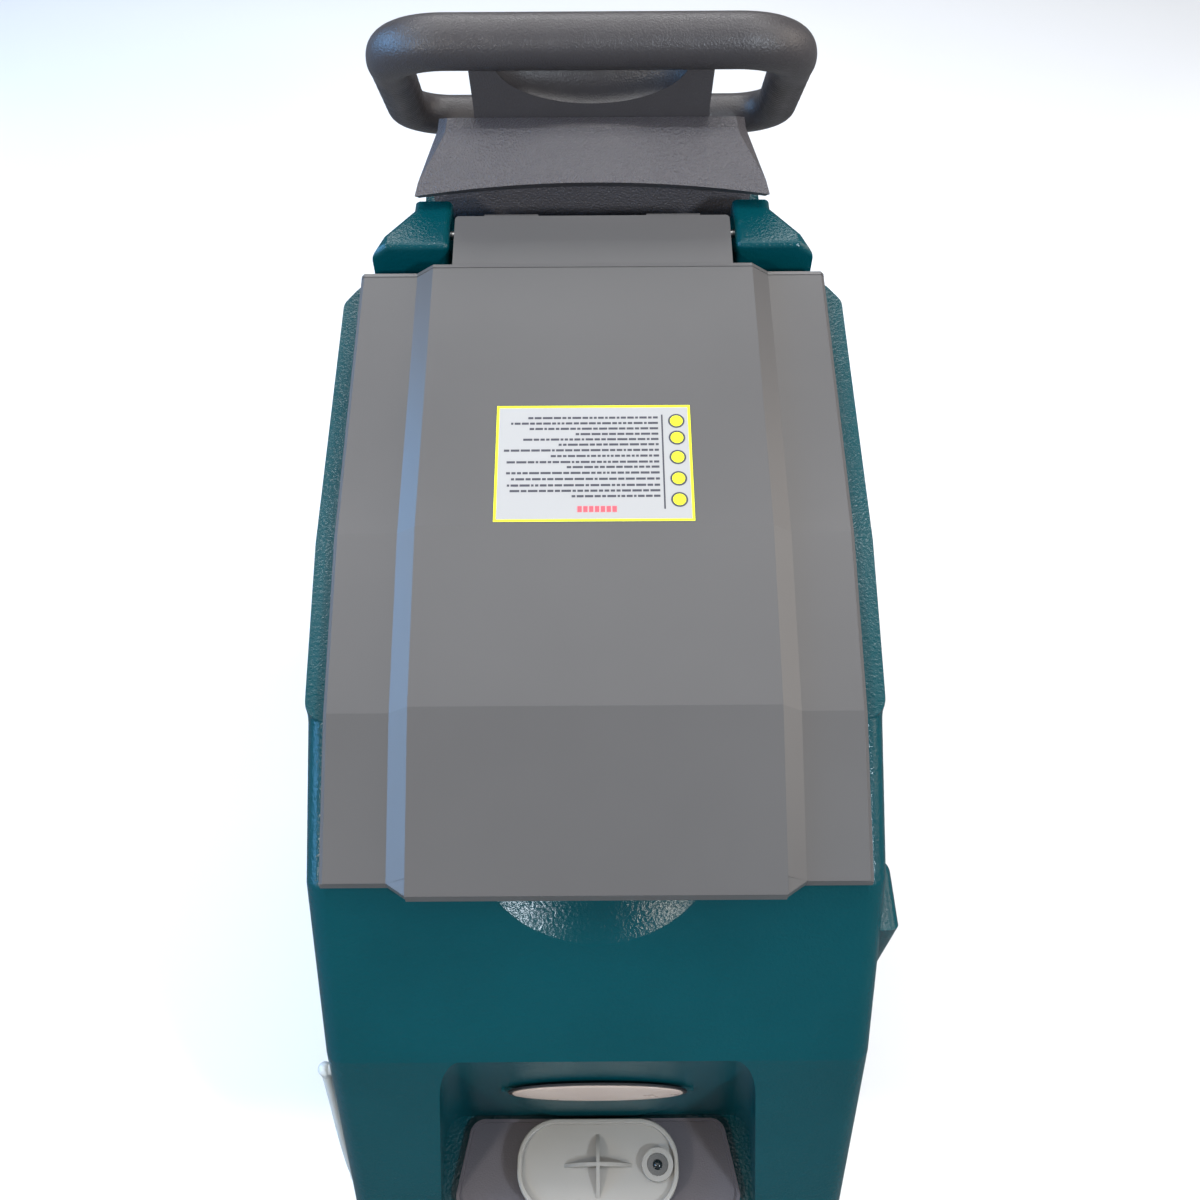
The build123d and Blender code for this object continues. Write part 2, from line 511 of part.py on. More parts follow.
def housing_envelope():
    low_y, low_z = slope_point(PANEL_LOW, PANEL_SINK)
    side = [(362, 880), (low_y, 760), (low_y, low_z), slope_point(PANEL_TOP, PANEL_SINK), (388, RING_TOP[1]),
            (364, RING_TOP[1])]
    front = [(-HOUSING_HALF, 740), (HOUSING_HALF, 740), (HOUSING_HALF, 900), (HOUSING_HALF + 4, 980),
             (-HOUSING_HALF - 4, 980), (-HOUSING_HALF, 900)]
    return side_prism(side, -HOUSING_HALF - 4, HOUSING_HALF + 4) & front_prism(front, 300, 600)


def make_housing():
    low_y, low_z = slope_point(PANEL_LOW, PANEL_SINK)
    finger_gap = Pos(0, 361, RING_TOP[1] - 15) * scale(Sphere(1), by=(90, 34, 42))
    inside = [(372, 860), (low_y - 12, 768), (low_y - 12, low_z - 8),
              slope_point(PANEL_TOP + 30, PANEL_SINK - 12), (398, 880)]
    shape = housing_envelope() - ring - finger_gap
    return shape - side_prism(inside, -HOUSING_HALF + WALL, HOUSING_HALF - WALL)


write("handle_ring", ring)
write("control_housing", make_housing())
write("hood", make_hood() - housing_envelope())

# ---------------------------------------------------------------- controls on the panel
PANEL_T = 4.0
BUTTON_R, BUTTON_TRAVEL = 10.0, 1.5
BUTTON_PLACES = {"button_brush": 46.0, "button_vacuum": 0.0, "button_water": -46.0}
BUTTON_DOWN = 128.0
KEY_PLACE, DIAL_PLACE, STOP_PLACE = (-66.0, 176.0), (0.0, 176.0), (66.0, 176.0)
PADDLE_X, PADDLE_DOWN = 58.0, 48.0


def stub(place, radius, low, high):
    """A disc standing on the panel, from low to high out of the ring plane."""
    return on_panel(place[0], place[1], (low + high) / 2) * Cylinder(radius, high - low)


panel = on_panel(0, 125, PANEL_SINK + PANEL_T / 2) * Box(2 * HOUSING_HALF - 16, 172, PANEL_T)
for x in BUTTON_PLACES.values():
    panel -= stub((x, BUTTON_DOWN), BUTTON_R + 0.5, -6, 4)
panel += stub(STOP_PLACE, 17, 0, 7)
panel -= stub(STOP_PLACE, 9, -6, 8)
for x in (-PADDLE_X, PADDLE_X):
    for side in (-1, 1):
        panel += on_panel(x + side * 25.5, PADDLE_DOWN, 5) * Box(5, 12, 10)
    panel -= on_panel(x, PADDLE_DOWN, 6) * Rot(0, 90, 0) * Cylinder(2.55, 60)
write("control_panel", panel)
write("display", on_panel(0, 88, 1.25) * Box(92, 40, 2.5) - on_panel(0, 88, 2.5) * Box(82, 30, 1.2))
for name, x in BUTTON_PLACES.items():
    cap_edge = stub((x, BUTTON_DOWN), BUTTON_R, -2, 3.4)
    write(name, cap_edge - on_panel(x, BUTTON_DOWN, 30.8) * Sphere(28))
write("key_switch", stub(KEY_PLACE, 13, 0, 5) - stub(KEY_PLACE, 8, 1, 6))
key = stub(KEY_PLACE, 7.5, 1.5, 6) + on_panel(*KEY_PLACE, 16) * Box(3, 22, 22)
write("key", key - on_panel(KEY_PLACE[0], KEY_PLACE[1], 20) * Rot(0, 90, 0) * Cylinder(3.5, 10))
dial = stub(DIAL_PLACE, 17, 0.4, 15)
for turn in range(12):
    dial -= on_panel(*DIAL_PLACE, 10) * Rot(0, 0, turn * 30) * Pos(18.2, 0, 0) * Cylinder(2.4, 14)
write("flow_dial", dial)
write("stop_button", stub(STOP_PLACE, 19, 12, 20) + stub(STOP_PLACE, 8.5, 1, 13))
for name, x in (("drive_paddle_left", PADDLE_X), ("drive_paddle_right", -PADDLE_X)):
    paddle = on_panel(x, PADDLE_DOWN + 6, 7) * Box(44, 22, 5)
    paddle += on_panel(x, PADDLE_DOWN, 6) * Rot(0, 90, 0) * Cylinder(2.5, 54)
    write(name, paddle)


# ---------------------------------------------------------------- hoses
LEVEL_R, DRAIN_HOSE_R, SUCTION_R = 4.8, 15.0, 21.0


def hose(points, radius):
    """A round hose along straight runs joined by arcs as large as the runs allow."""
    path = [Vector(*point) for point in points]
    radii = []
    for before, here, after in zip(path, path[1:], path[2:]):
        turn = radians((here - before).get_angle(after - here))
        run = min((here - before).length, (after - here).length)
        radii.append(0.45 * run / sin(turn / 2) * cos(turn / 2))
    line = FilletPolyline(*points, radius=radii)
    start = Plane(origin=path[0], z_dir=path[1] - path[0])
    tube = sweep(start * Circle(radius), path=line)
    print("hose radii", [round(r) for r in radii], "length", round(line.length),
          "volume ratio", round(tube.volume / (line.length * pi * radius ** 2), 3))
    return tube


level_points = [LEVEL_TOP, (LEVEL_X, -408, 440), (LEVEL_X, -427, 384), (LEVEL_X, -441, 330), LEVEL_LOW]
level_hose = hose(level_points, LEVEL_R)
write("level_hose", level_hose)
fittings = Part()
for (x, y, z), side in ((LEVEL_TOP, 1), (LEVEL_LOW, -1)):
    port_z = z + side * LEVEL_STEP
    fittings += rod((x, y, z - side * 6), (x, y, port_z), LEVEL_R + 1)
    fittings += Pos(x, y, port_z) * Sphere(LEVEL_R + 1.2)
    fittings += rod((x, y, port_z), (-212, y, port_z), LEVEL_PORT_R)
write("level_fittings", fittings - level_hose)

drain_points = [(188, 362, 288), (188, 364, 345), (189, 358, 430), (188, 345, 520), (186, 329, 610),
                (184, 316, 690), (183, 310, 745)]
drain_hose = hose(drain_points, DRAIN_HOSE_R)
write("drain_hose", drain_hose)
elbow = rod((150, DRAIN_LOW[1], DRAIN_LOW[2]), DRAIN_LOW, 16) + Pos(*DRAIN_LOW) * Sphere(17)
elbow += rod(DRAIN_LOW, (188, 362, 296), 17.5)
write("drain_elbow", elbow - drain_hose)
cap_axis = Plane(origin=drain_points[-1], z_dir=Vector(*drain_points[-1]) - Vector(*drain_points[-2]))
plug = cap_axis * Pos(0, 0, 15) * Cylinder(15.5, 30) + cap_axis * Pos(0, 0, 35) * Cylinder(12, 14)
write("drain_plug", plug)
clip = block(WAIST_HALF, 206, 302, 336, 700, 712) - block(184, 230, 296, 316, 690, 720)
write("hose_clip", clip - drain_hose)

suction_points = [SUCTION_TOP, (85, 470, 410), (84, 479, 345), (80, 489, 280), (74, 497, 215), (67, 500, 155),
                  (62, 499, 103)]
suction_hose = hose(suction_points, SUCTION_R)
write("suction_hose", suction_hose)
port = (SUCTION_TOP[0], 466.0, SUCTION_TOP[2] + SUCTION_RISE)
elbow = rod((84, 420, port[2]), port, 24) + Pos(*port) * Sphere(24) + rod(port, (84, 466, 464), 24)
write("suction_elbow", elbow - suction_hose)

# ---------------------------------------------------------------- chassis, axle and wheels
AXLE_R = 10.0
RUN = 0.05                     # radial air of a running fit
CASTER_STEM_R = 8.0
PIVOT_R = 6.0
RAIL_HALF_W = 15.0
DECK_EAR_X = 77.0
SQUEEGEE_EAR_X = 22.0


def cross_ear(x, y, z, thick):
    """A pair of plates hanging from the cross members, joined by a pivot pin."""
    ear = block(x - thick / 2, x + thick / 2, y - 14, y + 14, z - 14, RAIL_Z0 + 4)
    return both_sides(ear) + rod((-x, y, z), (x, y, z), PIVOT_R)


def make_chassis():
    frame = both_sides(block(RAIL_X - RAIL_HALF_W, RAIL_X + RAIL_HALF_W, -170, 404, RAIL_Z0, RAIL_Z1))
    for y in (-156, DECK_PIVOT_Y, 150, SQUEEGEE_PIVOT_Y):
        frame += block(-RAIL_X, RAIL_X, y - 14, y + 14, RAIL_Z0 + 2, RAIL_Z1 - 2)
    ear = block(RAIL_X - 6, RAIL_X + 6, WHEEL_Y - 22, WHEEL_Y + 22, WHEEL_R - 20, RAIL_Z0 + 1)
    ear -= rod((0, WHEEL_Y, WHEEL_R), (200, WHEEL_Y, WHEEL_R), AXLE_R)
    frame += both_sides(ear)
    frame += cross_ear(DECK_EAR_X, DECK_PIVOT_Y, DECK_PIVOT_Z, 8)
    frame += cross_ear(SQUEEGEE_EAR_X, SQUEEGEE_PIVOT_Y, SQUEEGEE_PIVOT_Z, 8)
    frame += both_sides(Pos(CASTER_X, CASTER_Y, 148) * Cylinder(16, 74))
    frame -= both_sides(Pos(CASTER_X, CASTER_Y, 140) * Cylinder(CASTER_STEM_R + RUN, 76))
    return frame + rod((-RAIL_X, PEDAL_Y, PEDAL_Z), (-PEDAL_X - 12, PEDAL_Y, PEDAL_Z), PIVOT_R)


PEDAL_X, PEDAL_Y, PEDAL_Z = 134.0, 205.0, 198.0
write("chassis", make_chassis())
write("drive_axle", rod((-200, WHEEL_Y, WHEEL_R), (200, WHEEL_Y, WHEEL_R), AXLE_R))
drive = Pos(0, WHEEL_Y, WHEEL_R) * Rot(0, 90, 0) * Cylinder(46, 150) + block(-30, 30, 40, 130, 96, 146)
drive += rod((0, 100, 120), (60, 100, 120), 26)
write("transaxle", drive - rod((-200, WHEEL_Y, WHEEL_R), (200, WHEEL_Y, WHEEL_R), AXLE_R))

TYRE_DEEP = 20.0
for name, side in (("left", 1), ("right", -1)):
    middle = Pos(side * WHEEL_X, WHEEL_Y, WHEEL_R) * Rot(0, 90, 0)
    rim_r = WHEEL_R - TYRE_DEEP
    rim = Cylinder(rim_r, WHEEL_W - 6) - Pos(0, 0, side * 12) * (Cylinder(rim_r - 9, 20) - Cylinder(24, 20))
    for turn in range(5):
        rim += Rot(0, 0, turn * 72) * Pos(rim_r / 2 + 6, 0, side * 8) * Box(rim_r - 24, 10, 12)
    rim -= Cylinder(AXLE_R + RUN, 60)
    write(f"wheel_{name}", middle * rim)
    tyre = Cylinder(WHEEL_R, WHEEL_W) - Cylinder(rim_r, WHEEL_W + 2)
    tyre = soften(tyre, tyre.edges().filter_by(lambda e: e.length > 2 * 3 * WHEEL_R), 6)
    for turn in range(30):
        tyre -= Rot(0, 0, turn * 12) * Pos(WHEEL_R + 0.5, 0, 12) * Rot(35, 0, 0) * Box(5, 5, 34)
        tyre -= Rot(0, 0, turn * 12) * Pos(WHEEL_R + 0.5, 0, -12) * Rot(-35, 0, 0) * Box(5, 5, 34)
    write(f"tyre_{name}", middle * tyre)

CASTER_PIN_R = 5.0
for name, side in (("left", 1), ("right", -1)):
    x, y = side * CASTER_X, CASTER_Y + CASTER_TRAIL
    fork = Pos(x, CASTER_Y, 142) * Cylinder(CASTER_STEM_R, 72) + Pos(x, CASTER_Y, 102) * Cylinder(24, 8)
    fork += block(x - 21, x + 21, CASTER_Y - 16, y + 12, 92, 98.5)
    for edge in (-1, 1):
        side_x = x + edge * 18.5
        arm = side_prism([(CASTER_Y - 14, 94), (y - 9, CASTER_R - 9), (y + 9, CASTER_R - 9), (y + 12, 94)],
                         0, 5)
        fork += Pos(side_x - 2.5, 0, 0) * arm
    fork += rod((x - 22, y, CASTER_R), (x + 22, y, CASTER_R), CASTER_PIN_R)
    write(f"caster_fork_{name}", fork)
    wheel = Cylinder(CASTER_R, CASTER_W)
    wheel = soften(wheel, wheel.edges(), 5)
    groove = Cylinder(27, 8) - Cylinder(10, 8)
    wheel -= Pos(0, 0, 12) * groove + Pos(0, 0, -12) * groove
    wheel -= Cylinder(CASTER_PIN_R + RUN, 40)
    write(f"caster_wheel_{name}", Pos(x, y, CASTER_R) * Rot(0, 90, 0) * wheel)

# ---------------------------------------------------------------- scrub deck
DECK_Z0, DECK_Z1 = 88.0, 94.0
SHAFT_R = 12.0
deck_middle = Pos(0, BRUSH_Y, 0)
deck = deck_middle * Pos(0, 0, (DECK_Z0 + DECK_Z1) / 2) * Cylinder(DECK_R - 7, DECK_Z1 - DECK_Z0)
deck -= deck_middle * Pos(0, 0, 90) * Cylinder(40, 20)
for x in (-60, 60):
    arm = [(DECK_PIVOT_Y - 12, DECK_PIVOT_Z - 8), (DECK_PIVOT_Y, DECK_PIVOT_Z - 13),
           (DECK_PIVOT_Y + 12, DECK_PIVOT_Z), (DECK_PIVOT_Y, DECK_PIVOT_Z + 12), (-250, 122),
           (-262, DECK_Z1 - 1), (-190, DECK_Z1 - 1)]
    deck += side_prism(arm, x - 5, x + 5)
deck -= rod((-70, DECK_PIVOT_Y, DECK_PIVOT_Z), (70, DECK_PIVOT_Y, DECK_PIVOT_Z), PIVOT_R + RUN)
deck += block(-65, 65, -216, -206, DECK_Z1 - 1, 112)
write("deck_plate", deck)
skirt = pipe((0, BRUSH_Y, 12), (0, BRUSH_Y, DECK_Z1), DECK_R - 1, DECK_R - 7)
skirt += pipe((0, BRUSH_Y, 58), (0, BRUSH_Y, 80), DECK_R + 8, DECK_R - 2)
write("deck_skirt", skirt)
motor = deck_middle * Pos(0, 0, 153) * Cylinder(54, 118) + deck_middle * Pos(0, 0, 103) * Cylinder(76, 18)
motor += deck_middle * Pos(0, 0, 81) * Cylinder(SHAFT_R, 46)
motor -= deck_middle * Pos(0, 0, 90) * (Cylinder(39, 8) - Cylinder(SHAFT_R, 8))
write("brush_motor", motor)
disc = Pos(0, BRUSH_Y, 41) * Cylinder(206, 14) + Pos(0, BRUSH_Y, 64) * Cylinder(32, 34)
for turn in range(6):
    disc += Pos(0, BRUSH_Y, 50) * Rot(0, 0, turn * 60) * Pos(100, 0, 0) * Box(150, 12, 12)
disc -= Pos(0, BRUSH_Y, 64) * Cylinder(SHAFT_R + RUN, 60)
write("brush_disc", disc)
write("brush_bristles", pipe((0, BRUSH_Y, 0), (0, BRUSH_Y, 34), 210, 92))

pedal_half = 7.0
pedal = rod((-PEDAL_X - pedal_half, PEDAL_Y, PEDAL_Z), (-PEDAL_X + pedal_half, PEDAL_Y, PEDAL_Z), 12)
bar = [(PEDAL_Y + 6, PEDAL_Z - 10), (330, 160), (430, 156), (430, 168), (330, 174),
       (PEDAL_Y + 6, PEDAL_Z + 8)]
pedal += side_prism(bar, -PEDAL_X - 5, -PEDAL_X + 5)
pedal += block(-PEDAL_X - 44, -PEDAL_X + 30, 404, 446, 160, 168)
write("deck_pedal", pedal - rod((-160, PEDAL_Y, PEDAL_Z), (-100, PEDAL_Y, PEDAL_Z), PIVOT_R + RUN))

# ---------------------------------------------------------------- squeegee
bow_y = SQUEEGEE_Y - SQUEEGEE_R


def bow(inner, outer, z0, z1, half=SQUEEGEE_HALF_DEG):
    """A band of the squeegee's bow between two radii."""
    reach = 1200 * sin(radians(half))
    wedge = plan_prism([(0, bow_y), (reach, bow_y + 1200 * cos(radians(half))),
                        (-reach, bow_y + 1200 * cos(radians(half)))], z0, z1)
    return pipe((0, bow_y, z0), (0, bow_y, z1), outer, inner) & wedge


BLADE_IN, BLADE_OUT, BLADE_T = 764.0, 812.0, 4.0
frame = bow(BLADE_IN + BLADE_T, BLADE_OUT, 48, 58)
frame += bow(BLADE_IN + BLADE_T, BLADE_IN + BLADE_T + 6, 26, 50) + bow(BLADE_OUT - 6, BLADE_OUT, 26, 50)
SPIGOT = (60.0, 500.0)
frame += pipe((*SPIGOT, 57), (*SPIGOT, 101), SUCTION_R - 3, SUCTION_R - 6)
frame -= rod((*SPIGOT, 40), (*SPIGOT, 70), SUCTION_R - 6)
pivot_y, pivot_z = SQUEEGEE_PIVOT_Y, SQUEEGEE_PIVOT_Z
arm = [(pivot_y - 12, pivot_z), (pivot_y, pivot_z - 13), (pivot_y + 40, 138), (482, 57), (520, 57), (520, 70),
       (500, 76), (pivot_y + 46, 158), (pivot_y, pivot_z + 12)]
frame += side_prism(arm, -12, 12) - rod((-40, pivot_y, pivot_z), (40, pivot_y, pivot_z), PIVOT_R + RUN)
write("squeegee_body", frame)
blades = bow(BLADE_IN, BLADE_IN + BLADE_T, 0, 56) + bow(BLADE_OUT, BLADE_OUT + BLADE_T, 0, 56)
write("squeegee_blades", blades)
knobs = Part()
for x in (-130, 130):
    y = bow_y + sqrt(790 ** 2 - x ** 2)
    knob = Cylinder(8, 12) + Pos(0, 0, 12) * Cylinder(17, 14)
    for turn in range(6):
        knob -= Rot(0, 0, turn * 60) * Pos(19, 0, 12) * Cylinder(5, 20)
    knobs += Pos(x, y, 64) * knob
write("squeegee_knobs", knobs)

LEVER_X, LEVER_Y, LEVER_Z = -112.0, 452.0, 640.0
bracket = both_sides(block(9, 14, BODY_REAR_Y + 4, LEVER_Y + 12, LEVER_Z - 18, LEVER_Z + 18))
bracket += block(-24, 24, BODY_REAR_Y, BODY_REAR_Y + 5, LEVER_Z - 30, LEVER_Z + 30)
bracket += rod((-14, LEVER_Y, LEVER_Z), (14, LEVER_Y, LEVER_Z), PIVOT_R - 1)
write("lever_bracket", Pos(LEVER_X, 0, 0) * bracket)
lever = rod((-7, LEVER_Y, LEVER_Z), (7, LEVER_Y, LEVER_Z), 11)
grip_start, grip_end = (0, LEVER_Y + 4, LEVER_Z - 4), (0, LEVER_Y + 86, LEVER_Z - 70)
lever += rod(grip_start, grip_end, 6) + Pos(*grip_end) * Sphere(16)
lever -= rod((-9, LEVER_Y, LEVER_Z), (9, LEVER_Y, LEVER_Z), PIVOT_R - 1 + RUN)
write("squeegee_lever", Pos(LEVER_X, 0, 0) * lever)
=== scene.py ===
import bpy
import bmesh
import json
import random
from math import atan2, cos, pi, radians, sin
from mathutils import Matrix, Vector


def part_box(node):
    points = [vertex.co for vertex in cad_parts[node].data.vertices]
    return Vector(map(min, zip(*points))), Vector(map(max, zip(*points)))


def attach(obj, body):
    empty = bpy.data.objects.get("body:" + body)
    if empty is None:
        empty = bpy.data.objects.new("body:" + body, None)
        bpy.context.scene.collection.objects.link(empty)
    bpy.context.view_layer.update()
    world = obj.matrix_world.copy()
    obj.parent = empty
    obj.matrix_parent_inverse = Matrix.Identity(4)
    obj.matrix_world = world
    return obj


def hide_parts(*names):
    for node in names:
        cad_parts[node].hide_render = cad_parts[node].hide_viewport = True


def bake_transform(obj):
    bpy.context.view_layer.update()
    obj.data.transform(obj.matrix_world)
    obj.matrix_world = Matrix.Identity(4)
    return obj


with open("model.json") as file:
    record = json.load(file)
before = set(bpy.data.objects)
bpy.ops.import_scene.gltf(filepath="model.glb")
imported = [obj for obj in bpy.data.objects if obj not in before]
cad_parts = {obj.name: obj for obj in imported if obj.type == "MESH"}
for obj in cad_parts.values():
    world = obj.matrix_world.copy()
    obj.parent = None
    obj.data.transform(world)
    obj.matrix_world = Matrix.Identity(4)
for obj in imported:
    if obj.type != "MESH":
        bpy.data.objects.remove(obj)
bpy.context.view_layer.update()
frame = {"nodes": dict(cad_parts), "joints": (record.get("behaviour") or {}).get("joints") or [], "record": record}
NODES = frame["nodes"]
MM = 0.001

# ---------------------------------------------------------------- camera
EYE = Vector((0.0, -0.642, 1.535))      # above the nose and a little in front of it
EYE_PITCH = 55.0                        # degrees below the horizon
EYE_ROLL = 0.34                         # degrees
LENS_MM, SENSOR_MM = 35.4, 36.0
camera = bpy.data.cameras.new("camera")
camera.sensor_width = SENSOR_MM
camera.lens = LENS_MM
camera.shift_x = 0.0045
camera.clip_start, camera.clip_end = 0.05, 50.0
eye = bpy.data.objects.new("camera", camera)
eye.matrix_world = (Matrix.Translation(EYE) @ Matrix.Rotation(radians(90 - EYE_PITCH), 4, "X")
                    @ Matrix.Rotation(radians(-EYE_ROLL), 4, "Z"))
bpy.context.scene.collection.objects.link(eye)
bpy.context.scene.camera = eye


# ---------------------------------------------------------------- materials
NOISE_BAND = (0.3, 0.7)                 # the range of values that a noise texture mostly stays in


class Tree:
    """A material's node tree with short ways to add and join nodes."""

    def __init__(self, name):
        self.material = bpy.data.materials.new(name)
        self.material.use_nodes = True
        self.nodes = self.material.node_tree.nodes
        self.links = self.material.node_tree.links
        self.shader = self.nodes["Principled BSDF"]
        self.place = self.add("ShaderNodeTexCoord").outputs["Object"]

    def add(self, kind, **settings):
        node = self.nodes.new(kind)
        for key, value in settings.items():
            setattr(node, key, value)
        return node

    def join(self, source, target):
        self.links.new(source, target)

    def noise(self, scale, detail=2.0, rough=0.5, stretch=None):
        node = self.add("ShaderNodeTexNoise")
        node.inputs["Scale"].default_value = scale
        node.inputs["Detail"].default_value = detail
        node.inputs["Roughness"].default_value = rough
        place = self.place
        if stretch:
            mapping = self.add("ShaderNodeMapping")
            mapping.inputs["Scale"].default_value = stretch
            self.join(place, mapping.inputs["Vector"])
            place = mapping.outputs["Vector"]
        self.join(place, node.inputs["Vector"])
        return node.outputs["Fac"]

    def cells(self, scale):
        """Soft rounded cells, as in a leather grain."""
        node = self.add("ShaderNodeTexVoronoi", feature="SMOOTH_F1")
        node.inputs["Scale"].default_value = scale
        node.inputs["Smoothness"].default_value = 0.6
        self.join(self.place, node.inputs["Vector"])
        return node.outputs["Distance"]

    def ramp(self, value, low, high):
        """A colour between low and high, following value."""
        node = self.add("ShaderNodeValToRGB")
        for stop, place, colour in zip(node.color_ramp.elements, NOISE_BAND, (low, high)):
            stop.position = place
            stop.color = (*colour, 1.0)
        self.join(value, node.inputs["Fac"])
        return node.outputs["Color"]

    def span(self, value, low, high):
        """A number between low and high, following value."""
        node = self.add("ShaderNodeMapRange")
        start, end = NOISE_BAND
        for key, number in (("From Min", start), ("From Max", end), ("To Min", low), ("To Max", high)):
            node.inputs[key].default_value = number
        self.join(value, node.inputs["Value"])
        return node.outputs["Result"]

    def sum(self, a, b, weight):
        """a plus b times weight."""
        node = self.add("ShaderNodeMath", operation="MULTIPLY_ADD")
        self.join(b, node.inputs[0])
        node.inputs[1].default_value = weight
        self.join(a, node.inputs[2])
        return node.outputs["Value"]

    def bump(self, height, distance):
        node = self.add("ShaderNodeBump")
        node.inputs["Distance"].default_value = distance
        self.join(height, node.inputs["Height"])
        self.join(node.outputs["Normal"], self.shader.inputs["Normal"])

    def set(self, **sockets):
        for key, value in sockets.items():
            self.shader.inputs[key.replace("_", " ")].default_value = value


def around(colour, spread):
    """Two colours a little darker and a little lighter than the one given."""
    return [c * (1 - spread) for c in colour], [min(1.0, c * (1 + spread)) for c in colour]


def plastic(name, colour, rough, grain, depth, spread=0.06, leather=False, coat=0.0, specular=0.5,
            uneven=0.14):
    """Moulded plastic: slow colour drift, uneven gloss, and a fine grain of its own pitch and depth."""
    tree = Tree(name)
    low, high = around(colour, spread)
    drift = tree.noise(7.0, 3.0, 0.55)
    tree.join(tree.ramp(drift, low, high), tree.shader.inputs["Base Color"])
    gloss = tree.span(tree.noise(38.0, 4.0, 0.6), rough * (1.0 - uneven), rough * (1.0 + uneven))
    tree.join(gloss, tree.shader.inputs["Roughness"])
    fine = tree.cells(grain) if leather else tree.noise(grain, 2.0, 0.45)
    height = tree.sum(fine, tree.noise(grain * 2.3, 2.0, 0.5), 0.35)
    tree.bump(height, depth)
    tree.set(IOR=1.47, Specular_IOR_Level=specular, Coat_Weight=coat, Coat_Roughness=0.25)
    return tree.material


def metal(name, colour, rough, stretch=(1.0, 1.0, 1.0), pitch=420.0, depth=0.00004):
    """Bare or plated metal with a directional polish and a few dull patches."""
    tree = Tree(name)
    low, high = around(colour, 0.10)
    tree.join(tree.ramp(tree.noise(30.0, 4.0, 0.6), low, high), tree.shader.inputs["Base Color"])
    polish = tree.noise(pitch, 3.0, 0.6, stretch)
    tree.join(tree.span(polish, rough * 0.7, rough * 1.35), tree.shader.inputs["Roughness"])
    tree.bump(polish, depth)
    tree.set(Metallic=1.0)
    return tree.material


def rubber(name, colour, rough=0.62):
    """Soft rubber: dull, with a dusty bloom over a fine skin texture."""
    tree = Tree(name)
    low, high = around(colour, 0.22)
    tree.join(tree.ramp(tree.noise(24.0, 5.0, 0.65), low, high), tree.shader.inputs["Base Color"])
    tree.join(tree.span(tree.noise(90.0, 3.0), rough * 0.85, rough * 1.15), tree.shader.inputs["Roughness"])
    tree.bump(tree.noise(900.0, 2.0), 0.00012)
    tree.set(Specular_IOR_Level=0.35, Sheen_Weight=0.08, Sheen_Roughness=0.4)
    return tree.material


TEAL = plastic("teal_rotomoulded", (0.0, 0.048, 0.060), 0.22, 360.0, 0.0005, spread=0.08, specular=0.32)
LID = plastic("lid_satin_grey", (0.090, 0.086, 0.085), 0.32, 2400.0, 0.000008, spread=0.03, specular=0.36,
              uneven=0.02)
HOOD = plastic("hood_leather_grey", (0.074, 0.068, 0.074), 0.34, 480.0, 0.0011, leather=True)
HANDLE = plastic("handle_grey", (0.044, 0.040, 0.042), 0.33, 560.0, 0.0006)
CAP = plastic("cap_warm_grey", (0.265, 0.252, 0.232), 0.34, 1300.0, 0.00006)
TRAY = plastic("tray_purple_grey", (0.085, 0.076, 0.086), 0.50, 700.0, 0.0003)
TANK = plastic("tank_natural", (0.56, 0.56, 0.53), 0.42, 420.0, 0.0004)
FILM = plastic("film_white", (0.36, 0.355, 0.35), 0.34, 2200.0, 0.00002, spread=0.02)
BLACK = plastic("black_plastic", (0.018, 0.018, 0.020), 0.42, 900.0, 0.0002)
SCREEN = plastic("display_glass", (0.008, 0.012, 0.014), 0.08, 2500.0, 0.000005, coat=0.6)
GREEN = plastic("button_green", (0.03, 0.26, 0.09), 0.34, 1200.0, 0.00006)
RED = plastic("stop_red", (0.50, 0.012, 0.010), 0.24, 1200.0, 0.00004, coat=0.4)
RUBBER = rubber("black_rubber", (0.022, 0.022, 0.022))
HOSE = rubber("hose_grey", (0.050, 0.050, 0.052), 0.5)
TYRE = rubber("tyre_rubber", (0.045, 0.045, 0.045), 0.7)
CLEAR = plastic("hose_translucent", (0.50, 0.53, 0.53), 0.22, 1500.0, 0.00005)
PAINT = plastic("frame_powder_coat", (0.022, 0.022, 0.025), 0.38, 1100.0, 0.00025, coat=0.15)
STEEL = metal("bright_steel", (0.58, 0.58, 0.57), 0.28, (1.0, 0.06, 1.0))
ALLOY = metal("cast_alloy", (0.50, 0.50, 0.51), 0.42, pitch=700.0, depth=0.0002)
WHEEL = plastic("wheel_grey", (0.20, 0.20, 0.21), 0.44, 800.0, 0.0002)
BRUSH = plastic("brush_blue", (0.012, 0.045, 0.20), 0.40, 900.0, 0.0002)
BRISTLE = plastic("bristle_nylon", (0.03, 0.08, 0.22), 0.45, 1800.0, 0.0002, spread=0.25)

BORDER = plastic("ink_yellow", (0.78, 0.84, 0.02), 0.32, 2200.0, 0.00002, spread=0.02)
INK = plastic("ink_dark", (0.045, 0.045, 0.060), 0.36, 2200.0, 0.00002, spread=0.05)
RED_INK = plastic("ink_red", (0.72, 0.085, 0.11), 0.34, 2200.0, 0.00002, spread=0.04)
PALE_INK = plastic("ink_pale", (0.62, 0.64, 0.64), 0.36, 2200.0, 0.00002, spread=0.03)
BADGE = plastic("badge_warm", (0.46, 0.37, 0.32), 0.30, 1800.0, 0.00003, spread=0.03)
GLOW = plastic("gauge_green", (0.10, 0.62, 0.20), 0.30, 2200.0, 0.00002, spread=0.05)

